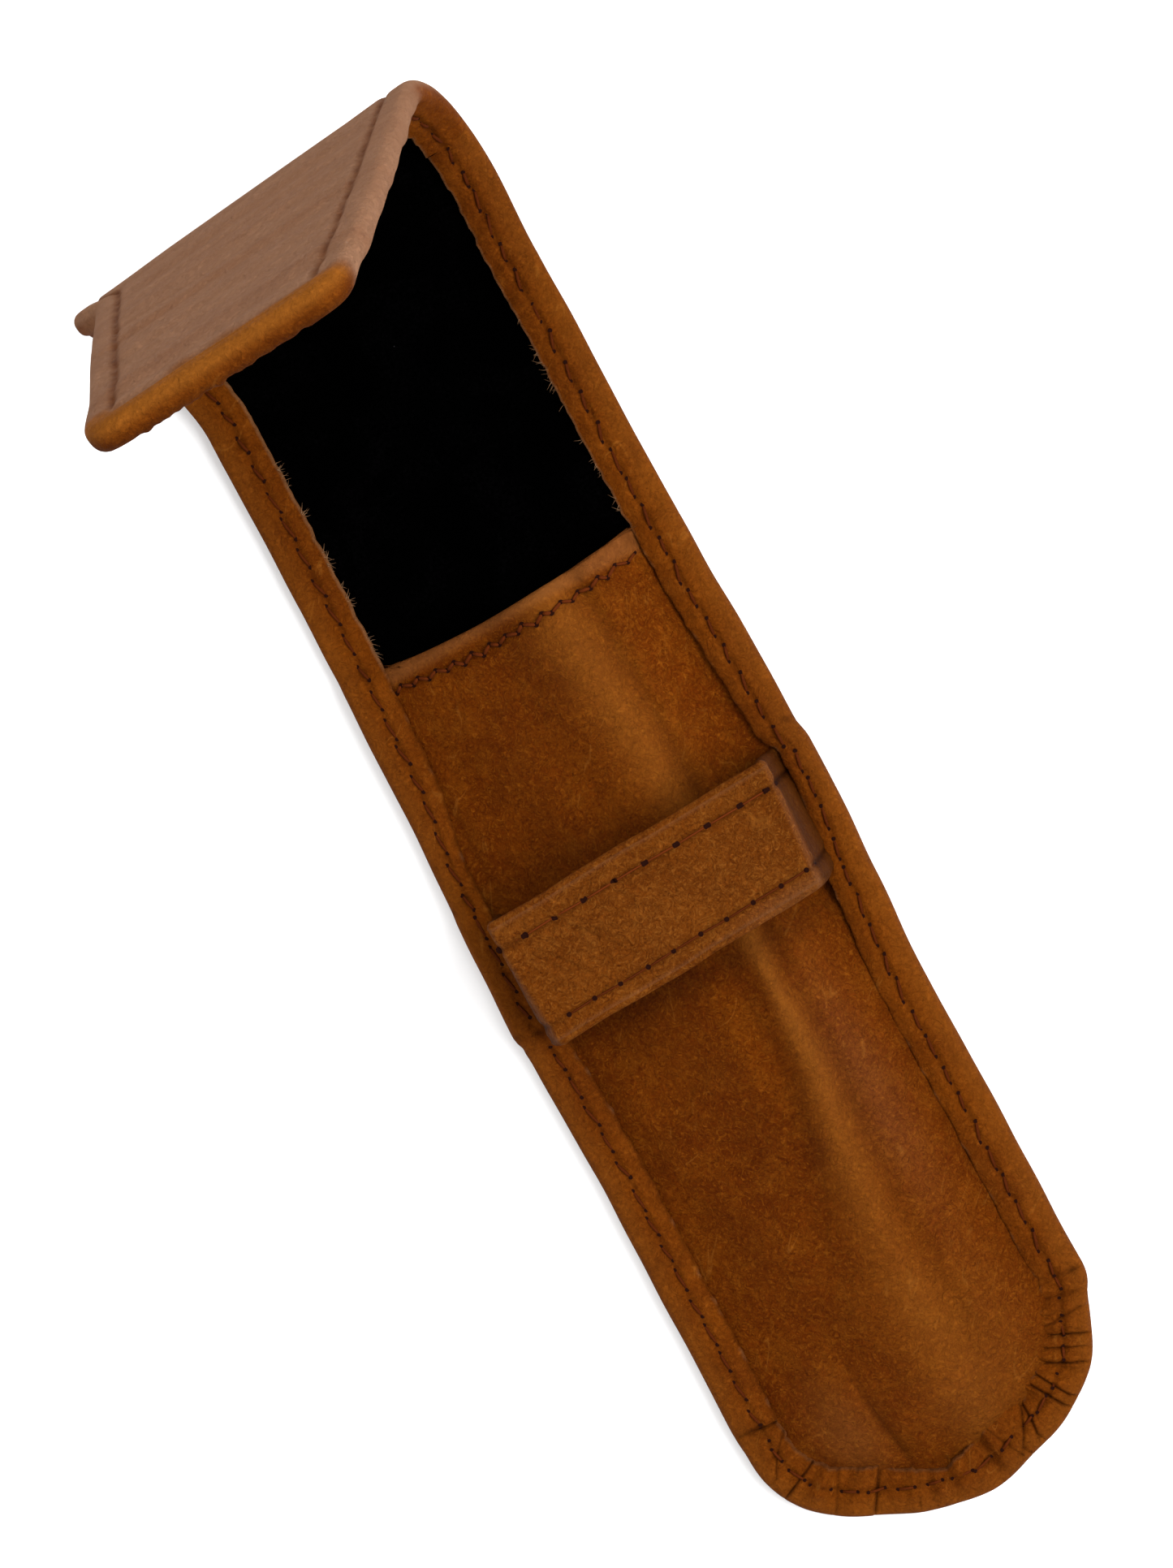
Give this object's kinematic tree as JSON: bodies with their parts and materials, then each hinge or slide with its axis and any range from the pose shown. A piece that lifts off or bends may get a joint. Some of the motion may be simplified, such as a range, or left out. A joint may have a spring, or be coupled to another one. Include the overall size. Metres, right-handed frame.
{
  "type": "leather instrument case",
  "caption": "Slim leather sleeve with a lined pocket, a keeper band across its front and a long flap that folds over and tucks under the band.",
  "frame": {"origin": "middle of the flat back face, half way between the toe and the start of the fold", "axes": "+Z leaves the front of the case, +Y runs from the toe to the fold along the case, +X is to the right seen from the front"},
  "size_m": [0.041, 0.1493, 0.0734],
  "materials": {
    "hide": "smooth grained, waxed, turned and stitched edges",
    "front_hide": "smooth grained, rubbed lighter along the crest",
    "flap_hide": "smooth grained, dull",
    "velvet": "black short pile",
    "thread": "waxed twisted thread, dark red brown"
  },
  "bodies": {
    "case": {"back_leather": "hide", "back_lining": "velvet", "side_hem_left": "hide", "side_hem_right": "hide", "toe_hem": "hide", "front_leather": "front_hide", "front_lining": "velvet", "mouth_hem": "front_hide", "keeper_band": "hide", "band_hem_upper": "hide", "band_hem_lower": "hide", "seam_left": "thread", "seam_right": "thread", "seam_toe": "thread", "seam_mouth": "thread", "band_seam_upper": "thread", "band_seam_lower": "thread"},
    "fold": {"fold_leather": "flap_hide", "fold_lining": "velvet", "fold_hem_left": "flap_hide", "fold_hem_right": "flap_hide", "fold_seam_left": "thread", "fold_seam_right": "thread"},
    "flap": {"flap_leather": "flap_hide", "flap_lining": "velvet", "flap_hem_left": "flap_hide", "flap_hem_right": "flap_hide", "flap_hem_tip": "flap_hide", "flap_seam_left": "thread", "flap_seam_right": "thread", "flap_seam_tip": "thread"}
  },
  "joints": [
    {"name": "flap_fold", "type": "hinge", "parent": "case", "child": "fold", "pos_m": [0, 0.08, 0.0067], "axis": [0.9969, 0.0785, 0], "range_deg": [-110, 70], "deforming": ["fold_leather", "fold_lining", "fold_hem_left", "fold_hem_right", "fold_seam_left", "fold_seam_right"]},
    {"name": "flap_tuck", "type": "slide", "parent": "fold", "child": "flap", "axis": [-0.0515, -0.3461, 0.9368], "range_m": [0, 0.012]}
  ]
}
